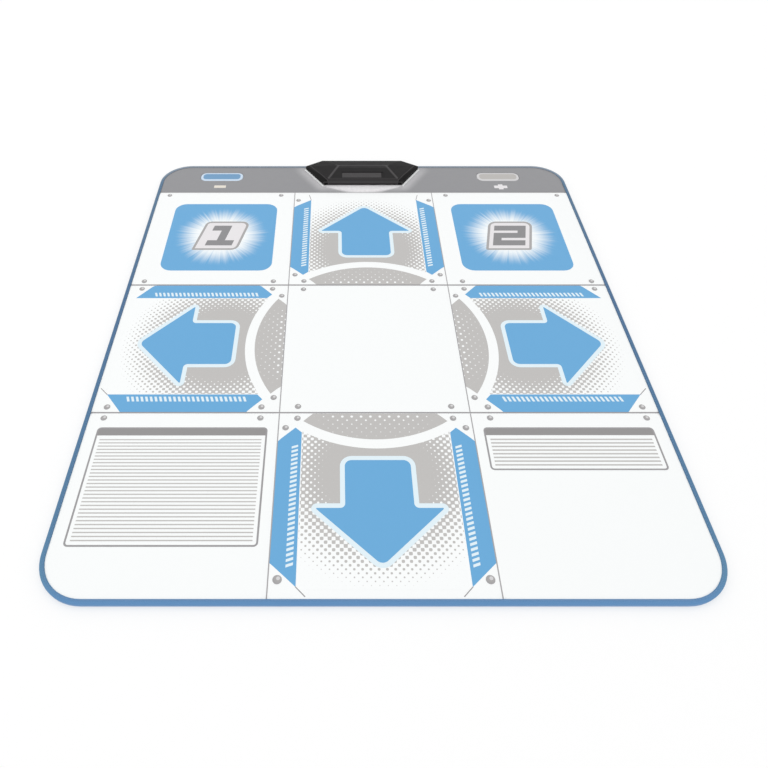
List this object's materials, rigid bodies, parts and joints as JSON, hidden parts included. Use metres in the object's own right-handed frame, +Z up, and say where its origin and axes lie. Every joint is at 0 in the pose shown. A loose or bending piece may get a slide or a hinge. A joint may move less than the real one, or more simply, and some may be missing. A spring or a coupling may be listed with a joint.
{
  "type": "dance mat controller",
  "caption": "Soft folding floor mat with printed foot panels on a layered switch stack, taped edge, and a faceted control box clipped on the back edge.",
  "frame": {"origin": "centre of the whole object's bounding box, on the floor", "axes": "+Y from the front edge to the control box, +X to the right seen from the front, +Z up from the floor"},
  "size_m": [0.822, 0.931, 0.0184],
  "materials": {
    "printed_vinyl": "white PVC sheet, satin, fine embossed grain, printed",
    "header_print": "grey printed PVC sheet, satin",
    "button_print": "blue printed PVC sheet, satin",
    "non_slip_base": "matt non-slip sheet with raised dots",
    "foam": "closed-cell foam",
    "circuit_film": "clear polyester film with printed traces",
    "edge_tape": "woven binding tape, sewn",
    "box_plastic": "moulded plastic, fine spark texture",
    "board": "solder mask",
    "component_plastic": "moulded",
    "gland_rubber": "matt rubber",
    "screw_steel": "zinc plated"
  },
  "bodies": {
    "back_section": {"base_sheet_back": "non_slip_base", "base_foam_back": "foam", "trace_film_back": "circuit_film", "header_sheet": "header_print", "header_filler_foam": "foam", "up_spacer_foam": "foam", "left_pad_spacer_foam": "foam", "right_pad_spacer_foam": "foam", "minus_spacer_foam": "foam", "plus_spacer_foam": "foam", "edge_tape_back_left": "edge_tape", "edge_tape_back_right": "edge_tape", "box_base": "box_plastic", "box_cover": "box_plastic", "circuit_board": "board", "controller_chip": "component_plastic", "film_connector": "component_plastic", "cable_gland": "gland_rubber", "box_screw_1": "screw_steel", "box_screw_2": "screw_steel", "box_screw_3": "screw_steel", "box_screw_4": "screw_steel"},
    "middle_section": {"base_sheet_middle": "non_slip_base", "base_foam_middle": "foam", "trace_film_middle": "circuit_film", "centre_sheet": "printed_vinyl", "centre_filler_foam": "foam", "left_spacer_foam": "foam", "right_spacer_foam": "foam", "edge_tape_middle_left": "edge_tape", "edge_tape_middle_right": "edge_tape"},
    "front_section": {"base_sheet_front": "non_slip_base", "base_foam_front": "foam", "trace_film_front": "circuit_film", "front_left_sheet": "printed_vinyl", "front_left_filler_foam": "foam", "front_right_sheet": "printed_vinyl", "front_right_filler_foam": "foam", "down_spacer_foam": "foam", "edge_tape_front": "edge_tape"},
    "up_panel": {"up_panel_sheet": "printed_vinyl", "up_contact_film": "circuit_film"},
    "left_panel": {"left_panel_sheet": "printed_vinyl", "left_contact_film": "circuit_film"},
    "right_panel": {"right_panel_sheet": "printed_vinyl", "right_contact_film": "circuit_film"},
    "down_panel": {"down_panel_sheet": "printed_vinyl", "down_contact_film": "circuit_film"},
    "left_pad_panel": {"left_pad_panel_sheet": "printed_vinyl", "left_pad_contact_film": "circuit_film"},
    "right_pad_panel": {"right_pad_panel_sheet": "printed_vinyl", "right_pad_contact_film": "circuit_film"},
    "minus_button": {"minus_button_sheet": "button_print", "minus_contact_film": "circuit_film"},
    "plus_button": {"plus_button_sheet": "button_print", "plus_contact_film": "circuit_film"}
  },
  "joints": [
    {"name": "middle_fold", "type": "hinge", "parent": "back_section", "child": "middle_section", "pos_m": [0, 0.0805, 0.01365], "axis": [-1, 0, 0], "range_deg": [0, 179.5]},
    {"name": "front_fold", "type": "hinge", "parent": "middle_section", "child": "front_section", "pos_m": [0, -0.1925, 0.008], "axis": [-1, 0, 0], "range_deg": [0, 179.5]},
    {"name": "up_press", "type": "slide", "parent": "back_section", "child": "up_panel", "axis": [0, 0, -1], "range_m": [0, 0.0012], "stiffness_N_per_m": 3000, "springref_m": -0.001, "deforming": ["up_spacer_foam"]},
    {"name": "left_press", "type": "slide", "parent": "middle_section", "child": "left_panel", "axis": [0, 0, -1], "range_m": [0, 0.0012], "stiffness_N_per_m": 3000, "springref_m": -0.001, "deforming": ["left_spacer_foam"]},
    {"name": "right_press", "type": "slide", "parent": "middle_section", "child": "right_panel", "axis": [0, 0, -1], "range_m": [0, 0.0012], "stiffness_N_per_m": 3000, "springref_m": -0.001, "deforming": ["right_spacer_foam"]},
    {"name": "down_press", "type": "slide", "parent": "front_section", "child": "down_panel", "axis": [0, 0, -1], "range_m": [0, 0.0012], "stiffness_N_per_m": 3000, "springref_m": -0.001, "deforming": ["down_spacer_foam"]},
    {"name": "left_pad_press", "type": "slide", "parent": "back_section", "child": "left_pad_panel", "axis": [0, 0, -1], "range_m": [0, 0.0012], "stiffness_N_per_m": 3000, "springref_m": -0.001, "deforming": ["left_pad_spacer_foam"]},
    {"name": "right_pad_press", "type": "slide", "parent": "back_section", "child": "right_pad_panel", "axis": [0, 0, -1], "range_m": [0, 0.0012], "stiffness_N_per_m": 3000, "springref_m": -0.001, "deforming": ["right_pad_spacer_foam"]},
    {"name": "minus_press", "type": "slide", "parent": "back_section", "child": "minus_button", "axis": [0, 0, -1], "range_m": [0, 0.0012], "stiffness_N_per_m": 1000, "springref_m": -0.001, "deforming": ["minus_spacer_foam"]},
    {"name": "plus_press", "type": "slide", "parent": "back_section", "child": "plus_button", "axis": [0, 0, -1], "range_m": [0, 0.0012], "stiffness_N_per_m": 1000, "springref_m": -0.001, "deforming": ["plus_spacer_foam"]}
  ]
}
